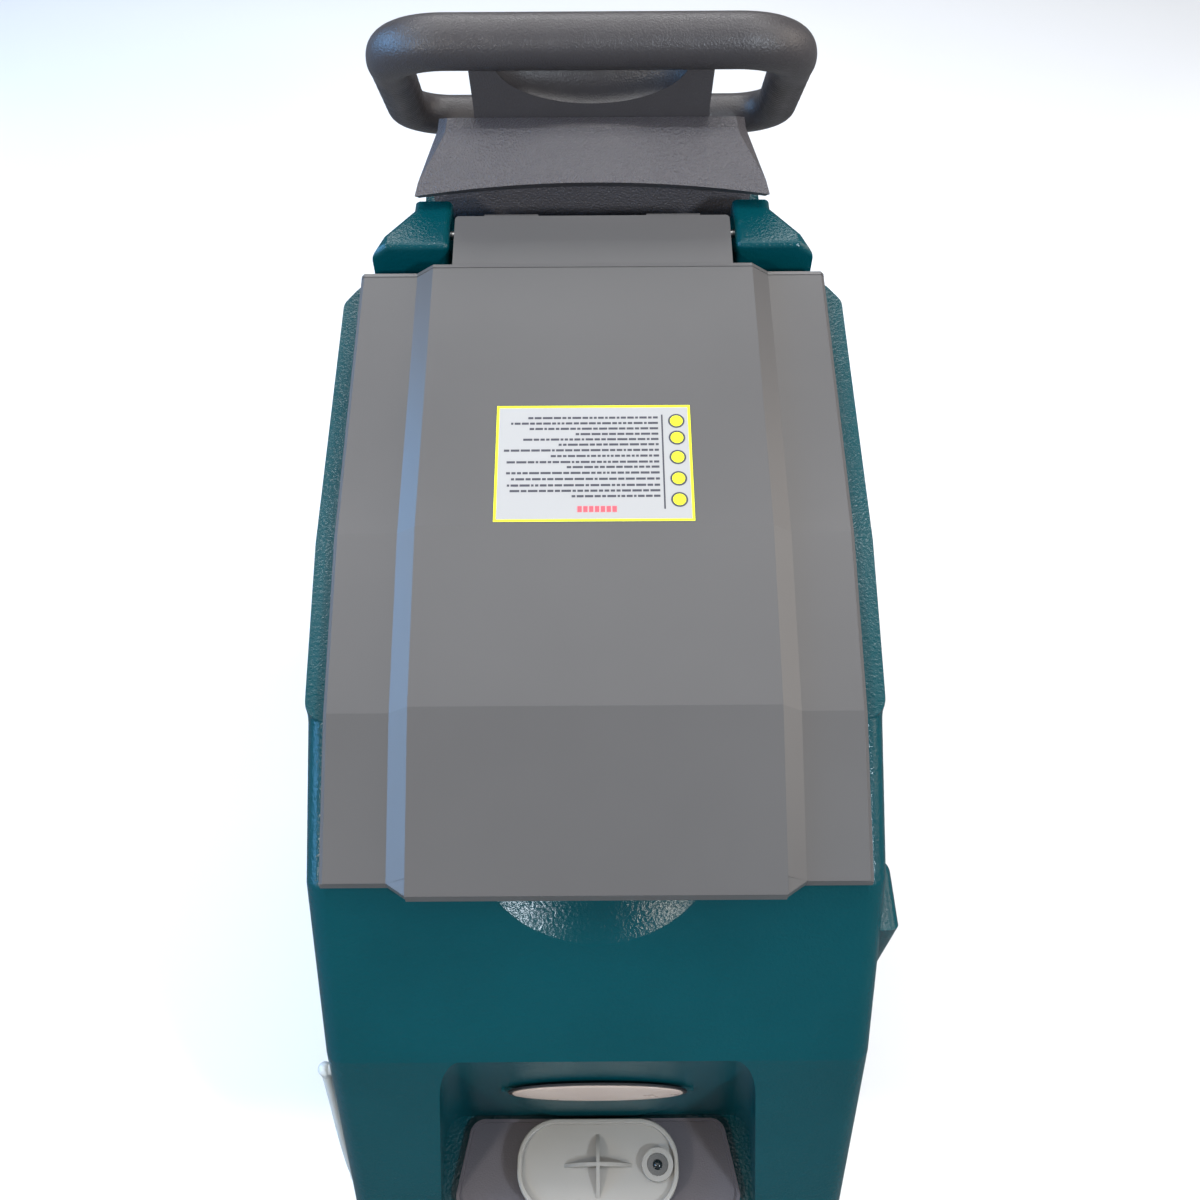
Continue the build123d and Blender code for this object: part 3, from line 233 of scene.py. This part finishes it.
FINISH = {
    "teal_plastic": TEAL, "lid_grey": LID, "hood_grey": HOOD, "handle_grey": HANDLE, "cap_grey": CAP,
    "tray_grey": TRAY, "tank_plastic": TANK, "notice_film": FILM, "black_plastic": BLACK,
    "display_screen": SCREEN, "button_plastic": GREEN, "stop_red": RED, "black_rubber": RUBBER,
    "hose_grey": HOSE, "clear_hose": CLEAR, "frame_paint": PAINT, "bright_steel": STEEL,
    "squeegee_alloy": ALLOY, "wheel_grey": WHEEL, "tyre_rubber": TYRE, "brush_disc_plastic": BRUSH,
    "bristle_nylon": BRISTLE,
}
SLOT_OF = {entry["node"]: entry["material_slot"] for entry in frame["record"]["subparts"]}


def paint(node, material):
    """Gives a CAD node one material."""
    NODES[node].data.materials.clear()
    NODES[node].data.materials.append(material)


for node, slot in SLOT_OF.items():
    paint(node, FINISH[slot])
paint("front_badge", BLACK)
paint("cap_vent", SCREEN)
paint("level_fittings", CLEAR)


def ease_edges(node, width, limit=32.0, clamp=True):
    """Rounds a CAD piece's edges sharper than the limit, in degrees, and evens its shading."""
    piece = NODES[node]
    bevel = piece.modifiers.new("eased_edges", "BEVEL")
    bevel.width = width
    bevel.segments = 3
    bevel.limit_method = "ANGLE"
    bevel.angle_limit = radians(limit)
    bevel.use_clamp_overlap = clamp
    normals = piece.modifiers.new("even_normals", "WEIGHTED_NORMAL")
    normals.keep_sharp = True


EASED = {"lid": 1.2, "hood": 3.0, "control_housing": 2.0, "filler_cap": 0.7, "filler_tray": 0.8}
for node, width in EASED.items():
    ease_edges(node, width * MM)
ease_edges("main_body", 2.2 * MM, limit=40.0, clamp=False)


# ---------------------------------------------------------------- mesh helpers
def place_piece(name, mesh, replaced=(), smooth=True):
    """Puts a finished mesh in the scene as a named piece, smooth-shaded if asked, and hides the CAD parts it
    replaces.
    """
    piece = bpy.data.objects.new(name, mesh)
    bpy.context.scene.collection.objects.link(piece)
    if smooth:
        mesh.shade_smooth()
    if replaced:
        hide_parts(*replaced)
    return piece


def add_piece(name, mesh, body, replaced=(), smooth=True):
    """Places a piece that rides on a body."""
    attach(place_piece(name, mesh, replaced, smooth), body)


def solid_mesh(name, points, faces, material):
    """A closed mesh of one material, its faces turned outwards."""
    mesh = bpy.data.meshes.new(name)
    mesh.from_pydata([tuple(p) for p in points], [], faces)
    mesh.update()
    work = bmesh.new()
    work.from_mesh(mesh)
    bmesh.ops.recalc_face_normals(work, faces=work.faces)
    work.to_mesh(mesh)
    work.free()
    mesh.materials.append(material)
    return mesh


def loft_rings(rings, closed=False):
    """Points and faces of a skin over rings of equal count, capped or joined end to end."""
    count = len(rings[0])
    points = [p for ring in rings for p in ring]
    faces = []
    last = len(rings) if closed else len(rings) - 1
    for i in range(last):
        j = (i + 1) % len(rings)
        for k in range(count):
            n = (k + 1) % count
            faces.append((i * count + k, i * count + n, j * count + n, j * count + k))
    if not closed:
        faces.append(tuple(reversed(range(count))))
        faces.append(tuple(len(points) - count + k for k in range(count)))
    return points, faces


def merge(meshes, name):
    """One mesh from several, keeping each one's material."""
    work = bmesh.new()
    materials = []
    for mesh in meshes:
        start = len(work.faces)
        work.from_mesh(mesh)
        work.faces.ensure_lookup_table()
        for face in work.faces[start:]:
            face.material_index = len(materials)
        materials.append(mesh.materials[0])
    merged = bpy.data.meshes.new(name)
    work.to_mesh(merged)
    work.free()
    for material in materials:
        merged.materials.append(material)
    return merged


# ---------------------------------------------------------------- handle ring
PANEL_AXIS = next(j for j in frame["joints"] if j["name"] == "flow_dial_turn")
FACING = Vector(PANEL_AXIS["axis"]).normalized()          # out of the ring plane, towards the operator
ACROSS = Vector((1, 0, 0))
DOWN = FACING.cross(ACROSS)                               # down the ring plane
RING_LO, RING_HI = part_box("handle_ring")
BAR_R, GRIP_R = 20.0 * MM, 23.5 * MM                      # side bars, and the thicker top bar
RING_TOP = Vector((0, RING_LO.y + GRIP_R, RING_HI.z - GRIP_R))
RING_DROP = (Vector((0, RING_HI.y - BAR_R, RING_LO.z + BAR_R)) - RING_TOP).length
RING_HALF_TOP, RING_HALF_LOW = 0.1865, 0.1985
# corners of the ring: across, down the ring plane, and the radius of the bend
RING_CORNERS = [(RING_HALF_TOP, 0.0, 0.058), (RING_HALF_LOW, RING_DROP, 0.046),
                (-RING_HALF_LOW, RING_DROP, 0.046), (-RING_HALF_TOP, 0.0, 0.058)]


def rounded_loop(corners, spacing):
    """(x, y, heading) at even steps round a closed polygon with rounded corners given as (x, y, radius)."""
    legs = []
    count = len(corners)
    for i, (x, y, radius) in enumerate(corners):
        before, after = corners[i - 1], corners[(i + 1) % count]
        into = Vector((x - before[0], y - before[1])).normalized()
        away = Vector((after[0] - x, after[1] - y)).normalized()
        turn = -into.angle_signed(away)
        cut = radius * abs(sin(turn / 2) / cos(turn / 2))
        legs.append((Vector((x, y)) - into * cut, Vector((x, y)) + away * cut, into, turn, radius))
    path = []
    for i, (enter, leave, into, turn, radius) in enumerate(legs):
        heading = atan2(into.y, into.x)
        steps = max(4, round(abs(turn) * radius / spacing))
        side = 1 if turn > 0 else -1
        hub = enter + Vector((-into.y, into.x)) * radius * side
        for k in range(steps):
            here = heading + turn * k / steps
            path.append((hub.x + sin(here) * radius * side, hub.y - cos(here) * radius * side, here))
        goal = legs[(i + 1) % count][0]
        run = goal - leave
        steps = max(2, round(run.length / spacing))
        for k in range(steps):
            place = leave + run * k / steps
            path.append((place.x, place.y, heading + turn))
    return path


def eased(t):
    """0 to 1 with a soft start and end."""
    t = min(1.0, max(0.0, t))
    return t * t * (3 - 2 * t)


def make_handle():
    """The ring as one moulded tube: a stout top bar, slimmer sides with grip ribs."""
    rib_from, rib_to, rib_outside = 0.060, RING_DROP - 0.035, 0.170
    pitch, depth, sides = 6.2 * MM, 1.1 * MM, 40
    rings = []
    for x, y, heading in rounded_loop(RING_CORNERS, 1.9 * MM):
        middle = RING_TOP + ACROSS * x + DOWN * y
        along = ACROSS * cos(heading) + DOWN * sin(heading)
        inward = -along.cross(FACING)
        slim = eased(y / 0.07)
        wide = (24.2 - 3.8 * slim) * MM
        deep = (23.4 - 3.2 * slim) * MM
        on_side = abs(x) > rib_outside and rib_from < y < rib_to
        fade = eased(min((y - rib_from) / 0.03, (rib_to - y) / 0.02)) if on_side else 0.0
        ring = []
        for k in range(sides):
            turn = 2 * pi * k / sides
            squared = 1.0 + 0.03 * (1 - cos(4 * turn)) / 2
            rib = fade * depth * (0.5 + 0.5 * sin(2 * pi * y / pitch)) * abs(cos(turn)) ** 0.6
            ring.append(middle + inward * (wide * squared - rib) * cos(turn)
                        + FACING * (deep * squared - rib) * sin(turn))
        rings.append(ring)
    mesh = solid_mesh("handle_grip", *loft_rings(rings, closed=True), HANDLE)
    add_piece("handle_grip", mesh, "machine", ["handle_ring"])


make_handle()

# ---------------------------------------------------------------- notice and badge
NOTICE_LO, NOTICE_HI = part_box("lid_notice")
FILM_T = 0.4 * MM
NOTICE_RISE = NOTICE_HI.z - FILM_T - NOTICE_LO.z
NOTICE_SIZE_MM = (162.0, 111.0)
INK_LIFT, INK_FOOT = 0.12 * MM, 0.02 * MM                 # top and underside of the print above the film
RIM = 0.013                                               # border, as a share of the notice's width
RIM_T = RIM * 1.42                                        # and of its depth
WORD_GAP = 0.007
# rows of the notice from the rear edge forwards: (share of the depth, share of the width where it starts)
NOTICE_ROWS = [(0.110, 0.163), (0.159, 0.075), (0.207, 0.171), (0.255, 0.408), (0.302, 0.129), (0.348, 0.321),
               (0.397, 0.042), (0.447, 0.279), (0.499, 0.058), (0.543, 0.363), (0.593, 0.046), (0.645, 0.083),
               (0.698, 0.063), (0.745, 0.067), (0.791, 0.388)]
NOTICE_DOTS = [0.142, 0.291, 0.461, 0.645, 0.823]


def notice_point(s, t, lift):
    """A place on the notice: s across from -X, t from the rear edge forwards."""
    y = NOTICE_HI.y + (NOTICE_LO.y - NOTICE_HI.y) * t
    x = NOTICE_LO.x + (NOTICE_HI.x - NOTICE_LO.x) * s
    return Vector((x, y, NOTICE_HI.z - NOTICE_RISE * t + lift))


def printed(name, shapes, material, lift=INK_LIFT):
    """Flat printed shapes on the notice, each a list of (s, t) corners, with a hair's thickness."""
    points, faces = [], []
    for shape in shapes:
        start, count = len(points), len(shape)
        points += [notice_point(s, t, lift) for s, t in shape]
        points += [notice_point(s, t, INK_FOOT) for s, t in shape]
        faces.append(tuple(start + k for k in range(count)))
        faces.append(tuple(start + 2 * count - 1 - k for k in range(count)))
        for k in range(count):
            n = (k + 1) % count
            faces.append((start + k, start + count + k, start + count + n, start + n))
    return solid_mesh(name, points, faces, material)


def oblong(s0, s1, t0, t1):
    """Corners of an upright oblong on the notice."""
    return [(s0, t0), (s1, t0), (s1, t1), (s0, t1)]


def disc(s, t, radius_mm):
    """Corners of a round dot on the notice."""
    width, depth = NOTICE_SIZE_MM
    count = 24
    return [(s + radius_mm / width * cos(2 * pi * k / count), t + radius_mm / depth * sin(2 * pi * k / count))
            for k in range(count)]


def make_notice():
    """A generic notice: a bright border, rows of plain dashes, a rule and a column of plain dots."""
    dice = random.Random(7)
    border = [oblong(0, 1, 0, RIM_T), oblong(0, 1, 1 - RIM_T, 1), oblong(0, RIM, RIM_T, 1 - RIM_T),
              oblong(1 - RIM, 1, RIM_T, 1 - RIM_T)]
    rule = oblong(0.849, 0.857, 0.085, 0.90)
    dashes = [rule]
    row_end, half_height = 0.832, 0.009
    for t, start in NOTICE_ROWS:
        s = row_end
        while s > start + 0.008:
            word = min(s - start, dice.uniform(0.012, 0.052))
            dashes.append(oblong(s - word, s, t - half_height, t + half_height))
            s -= word + WORD_GAP
    title = [oblong(0.417 + 0.029 * k, 0.439 + 0.029 * k, 0.874, 0.924) for k in range(7)]
    dot_s = 0.927
    rims = [disc(dot_s, t, 6.9) for t in NOTICE_DOTS]
    dots = [disc(dot_s, t, 5.3) for t in NOTICE_DOTS]
    layers = [printed("border", border, BORDER), printed("dashes", dashes, INK),
              printed("title", title, RED_INK), printed("rims", rims, INK),
              printed("dots", dots, BORDER, INK_LIFT * 1.6)]
    add_piece("notice_print", merge(layers, "notice_print"), "lid", smooth=False)


def make_badge():
    """A blank oval plate, slightly domed, in the dark rim of its seat."""
    low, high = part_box("front_badge")
    middle = (low + high) / 2
    seat_rim, sides = 3.2 * MM, 72
    half_x, half_z = (high.x - low.x) / 2 - seat_rim, (high.z - low.z) / 2 - seat_rim
    # profile from the edge to the middle: share of the half size, millimetres in front of the seat
    profile = [(1.0, -0.4), (0.995, 0.7), (0.97, 1.1), (0.8, 1.35), (0.4, 1.6), (0.05, 1.7)]
    rings = []
    for share, out in profile:
        turns = [2 * pi * k / sides for k in range(sides)]
        rings.append([Vector((middle.x + half_x * share * cos(turn), low.y - out * MM,
                              middle.z + half_z * share * sin(turn))) for turn in turns])
    mesh = solid_mesh("badge_face", *loft_rings(rings), BADGE)
    add_piece("badge_face", mesh, "machine")


make_notice()
make_badge()

# ---------------------------------------------------------------- hoses
# middle lines in millimetres
SUCTION_ROUTE = [(84, 466, 470), (85, 470, 410), (84, 479, 345), (80, 489, 280), (74, 497, 215),
                 (67, 500, 155), (62, 499, 103)]
DRAIN_ROUTE = [(188, 362, 288), (188, 364, 345), (189, 358, 430), (188, 345, 520), (186, 329, 610),
               (184, 316, 690), (183, 310, 745)]


def smooth_path(points, spacing):
    """Even points along a path in millimetres, with its corners eased."""
    corners = [Vector(p) * MM for p in points]
    path = []
    for a, b in zip(corners, corners[1:]):
        steps = max(1, round((b - a).length / spacing))
        path += [a + (b - a) * k / steps for k in range(steps)]
    path.append(corners[-1])
    for _ in range(60):
        path = [path[0]] + [(a + b * 2 + c) / 4 for a, b, c in zip(path, path[1:], path[2:])] + [path[-1]]
    return path


def ribbed_hose(name, path, radius, pitch, depth):
    """Mesh of a corrugated hose, its rings true to the pitch along its length."""
    sides = 32
    rings, travelled = [], 0.0
    for i, here in enumerate(path):
        along = (path[min(i + 1, len(path) - 1)] - path[max(i - 1, 0)]).normalized()
        right = along.cross(Vector((0, 1, 0.02))).normalized()
        front = right.cross(along)
        travelled += (here - path[i - 1]).length if i else 0.0
        wave = sin(2 * pi * travelled / pitch)
        here_r = radius - depth * (0.5 - 0.5 * wave * (1.4 - 0.4 * wave * wave))
        rings.append([here + (right * cos(2 * pi * k / sides) + front * sin(2 * pi * k / sides)) * here_r
                      for k in range(sides)])
    return solid_mesh(name, *loft_rings(rings), HOSE)


def make_suction_hose():
    """The hose that bends between the body and the squeegee."""
    pitch = 7.0 * MM
    path = smooth_path(SUCTION_ROUTE, pitch / 6)
    mesh = ribbed_hose("suction_hose_ribbed", path, 21.0 * MM, pitch, 2.2 * MM)
    piece = place_piece("suction_hose_ribbed", mesh, ["suction_hose"])
    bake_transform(piece)


def make_drain_hose():
    """The hose held upright behind the right horn."""
    pitch = 5.0 * MM
    mesh = ribbed_hose("drain_hose_ribbed", smooth_path(DRAIN_ROUTE, pitch / 6), 15.0 * MM, pitch, 1.4 * MM)
    add_piece("drain_hose_ribbed", mesh, "machine", ["drain_hose"])


make_suction_hose()
make_drain_hose()


# ---------------------------------------------------------------- brush
def make_bristles():
    """Rows of nylon tufts, leaning out a little at the outer rows."""
    dice = random.Random(11)
    low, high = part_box("brush_bristles")
    centre = (low + high) / 2
    points, faces = [], []
    inner_r, outer_r = 92.0 * MM, (high.x - low.x) / 2
    rows, sides = 10, 7
    pitch = 11.5 * MM
    for row in range(rows):
        r = inner_r + 4 * MM + (outer_r - inner_r - 8 * MM) * row / (rows - 1)
        count = round(2 * pi * r / pitch)
        for i in range(count):
            turn = 2 * pi * (i + 0.5 * (row % 2)) / count + dice.uniform(-0.004, 0.004)
            lean = (row / rows - 0.4) * 3.0 * MM + dice.uniform(-0.6, 0.6) * MM
            out = Vector((cos(turn), sin(turn), 0))
            root = Vector((centre.x, centre.y, high.z)) + out * (r - max(0.0, lean) - 0.5 * MM)
            tip = Vector((centre.x, centre.y, low.z)) + out * min(r + lean, outer_r - 4.6 * MM)
            start = len(points)
            for place, radius in ((root, 2.6 * MM), (root.lerp(tip, 0.5), 3.0 * MM), (tip, 4.2 * MM)):
                points += [place + Vector((cos(2 * pi * k / sides), sin(2 * pi * k / sides), 0)) * radius
                           for k in range(sides)]
            for ring in (start, start + sides):
                for k in range(sides):
                    n = (k + 1) % sides
                    faces.append((ring + k, ring + n, ring + sides + n, ring + sides + k))
            faces.append(tuple(start + 2 * sides + k for k in range(sides)))
            faces.append(tuple(start + sides - 1 - k for k in range(sides)))
    mesh = solid_mesh("brush_tufts", points, faces, BRISTLE)
    add_piece("brush_tufts", mesh, "brush", ["brush_bristles"])


make_bristles()


# ---------------------------------------------------------------- marks on the control panel
# heights in millimetres out of the ring plane
SCREEN_FACE, PANEL_FACE, MARK_DEPTH = 1.55, 0.2, 0.25
DIAL_DOWN = 176                         # the flow dial's middle, down the ring plane
BLOCK_FACES = [(0, 1, 2, 3), (7, 6, 5, 4), (0, 4, 5, 1), (1, 5, 6, 2), (2, 6, 7, 3), (3, 7, 4, 0)]


def on_panel(x, down, out):
    """A place on the panel, in millimetres across, down and out of the ring plane."""
    return RING_TOP + ACROSS * (x * MM) + DOWN * (down * MM) + FACING * (out * MM)


def panel_mark(corners, out):
    """Points of a thin mark with four (x, down) corners."""
    return [on_panel(x, d, out) for x, d in corners] + [on_panel(x, d, out - MARK_DEPTH) for x, d in corners]


def panel_bar(x0, x1, d0, d1, out):
    return panel_mark([(x0, d0), (x1, d0), (x1, d1), (x0, d1)], out)


def panel_marks(name, marks, material):
    points, faces = [], []
    for mark in marks:
        faces += [tuple(len(points) + i for i in face) for face in BLOCK_FACES]
        points += mark
    add_piece(name, solid_mesh(name, points, faces, material), "machine", smooth=False)


gauge = [panel_bar(-37 + 11 * k, -28 + 11 * k, 77, 86, SCREEN_FACE) for k in range(5)]
panel_marks("display_gauge", gauge, GLOW)
readout = [panel_bar(-37, 4, 91, 93, SCREEN_FACE), panel_bar(-37, -8, 96, 98, SCREEN_FACE),
           panel_bar(22, 37, 77, 86, SCREEN_FACE), panel_bar(22, 37, 91, 98, SCREEN_FACE)]
panel_marks("display_readout", readout, PALE_INK)
lines = [panel_bar(-92, 92, 110.0, 110.7, PANEL_FACE), panel_bar(-92, 92, 147.0, 147.7, PANEL_FACE)]
for button_x in (46, 0, -46):
    lines.append(panel_bar(button_x - 7, button_x + 7, 141.6, 143.0, PANEL_FACE))
for tick in range(11):
    turn = radians(-135 + 27 * tick)
    near, far = 20.5, 24.0 if tick % 5 else 26.0
    a, b = [(sin(turn) * reach, DIAL_DOWN - cos(turn) * reach) for reach in (near, far)]
    side = (cos(turn) * 0.45, sin(turn) * 0.45)
    corners = [(a[0] - side[0], a[1] - side[1]), (a[0] + side[0], a[1] + side[1]),
               (b[0] + side[0], b[1] + side[1]), (b[0] - side[0], b[1] - side[1])]
    lines.append(panel_mark(corners, PANEL_FACE))
panel_marks("panel_lines", lines, PALE_INK)

# ---------------------------------------------------------------- floor, light
FLOOR_SIZE = 16.0
WORLD_STRENGTH = 0.24
bpy.ops.mesh.primitive_plane_add(size=FLOOR_SIZE, location=(0, 0, 0))
floor = bpy.context.object
floor.name = "floor"
floor_tree = Tree("floor_pale")
low, high = around((0.80, 0.80, 0.80), 0.015)
shade = floor_tree.ramp(floor_tree.noise(1.2, 3.0), low, high)
floor_tree.join(shade, floor_tree.shader.inputs["Base Color"])
floor_tree.set(Roughness=0.6)
floor.data.materials.append(floor_tree.material)
floor.visible_glossy = False

bpy.context.scene.view_settings.view_transform = "Standard"
world = bpy.data.worlds.new("studio")
bpy.context.scene.world = world
world.use_nodes = True
backdrop = world.node_tree.nodes["Background"]
backdrop.inputs["Color"].default_value = (0.93, 0.95, 1.0, 1.0)
backdrop.inputs["Strength"].default_value = WORLD_STRENGTH


def softbox(name, place, target, size, power, colour=(1.0, 1.0, 1.0)):
    """An oblong lamp aimed at a target."""
    lamp = bpy.data.lights.new(name, "AREA")
    lamp.shape = "RECTANGLE"
    lamp.size, lamp.size_y = size
    lamp.energy = power
    lamp.color = colour
    holder = bpy.data.objects.new(name, lamp)
    holder.location = place
    aim = Vector(target) - Vector(place)
    holder.rotation_mode = "QUATERNION"
    holder.rotation_quaternion = aim.to_track_quat("-Z", "Y")
    bpy.context.scene.collection.objects.link(holder)


softbox("overhead_left", (-1.9, 0.3, 3.3), (-0.5, 0.3, 0), (2.3, 4.6), 50.0)
softbox("overhead_right", (1.9, 0.3, 3.3), (0.5, 0.3, 0), (2.3, 4.6), 50.0)
softbox("back_high", (0.0, 2.0, 2.6), (0, 0, 0.7), (2.0, 0.6), 34.0)
softbox("left_cool", (-2.4, 0.15, 1.45), (0, 0.1, 0.75), (3.0, 0.8), 78.0, (0.20, 0.52, 1.0))
softbox("right_warm", (2.4, 0.3, 1.6), (0, 0.1, 0.75), (2.4, 0.9), 22.0, (1.0, 0.88, 0.76))
softbox("spark_right", (1.5, -1.7, 2.1), (0, -0.3, 0.66), (0.24, 0.34), 46.0, (0.80, 0.90, 1.0))
softbox("spark_left", (-1.5, -1.7, 2.1), (0, -0.3, 0.66), (0.24, 0.34), 28.0, (1.0, 0.94, 0.84))
softbox("spark_hood_left", (-1.1, 0.5, 3.0), (0, 0.3, 0.88), (0.20, 0.20), 11.0)
softbox("spark_hood_right", (1.1, 0.5, 3.0), (0, 0.3, 0.88), (0.20, 0.20), 11.0)

bpy.context.view_layer.update()
